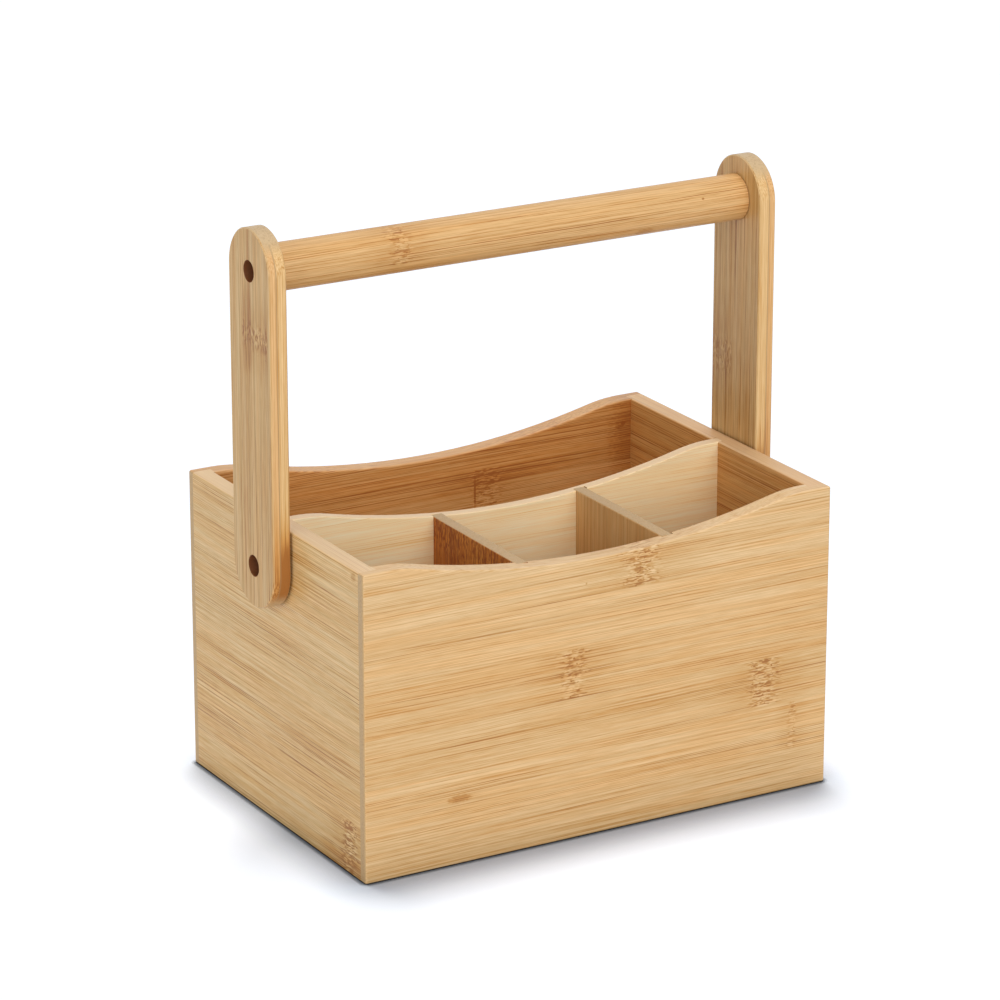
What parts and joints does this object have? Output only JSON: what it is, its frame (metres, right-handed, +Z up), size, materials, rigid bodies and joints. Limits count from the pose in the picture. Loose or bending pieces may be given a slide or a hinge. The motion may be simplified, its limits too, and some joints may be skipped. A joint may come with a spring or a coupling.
{
  "type": "utensil caddy",
  "caption": "Open bamboo box with a wavy rim and divided compartments for standing cutlery, carried by a swinging handle made of round-ended arms and a round grip bar.",
  "frame": {"origin": "on the table, under the middle of the box", "axes": "+X right along the box's length, +Y to the back (the side of the single long compartment), +Z up, handle upright"},
  "size_m": [0.243, 0.156, 0.2604],
  "materials": {
    "bamboo_panel": "edge-glued bamboo strips, grain along the box, clear satin lacquer",
    "bamboo_divider": "paler bamboo boards, clear satin lacquer",
    "bamboo_handle": "laminated bamboo, grain along each piece, clear satin lacquer",
    "screw_steel": "zinc-plated steel"
  },
  "bodies": {
    "caddy": {"front_panel": "bamboo_panel", "back_panel": "bamboo_panel", "left_end_panel": "bamboo_panel", "right_end_panel": "bamboo_panel", "base_panel": "bamboo_panel", "long_divider": "bamboo_divider", "left_cross_divider": "bamboo_divider", "right_cross_divider": "bamboo_divider", "left_pivot_screw": "screw_steel", "right_pivot_screw": "screw_steel"},
    "handle": {"left_handle_arm": "bamboo_handle", "right_handle_arm": "bamboo_handle", "grip_bar": "bamboo_handle", "left_grip_screw": "screw_steel", "right_grip_screw": "screw_steel"}
  },
  "joints": [
    {"name": "handle_swing", "type": "hinge", "parent": "caddy", "child": "handle", "pos_m": [0, 0, 0.116], "axis": [1, 0, 0], "range_deg": [-135.5, 135.5]}
  ]
}
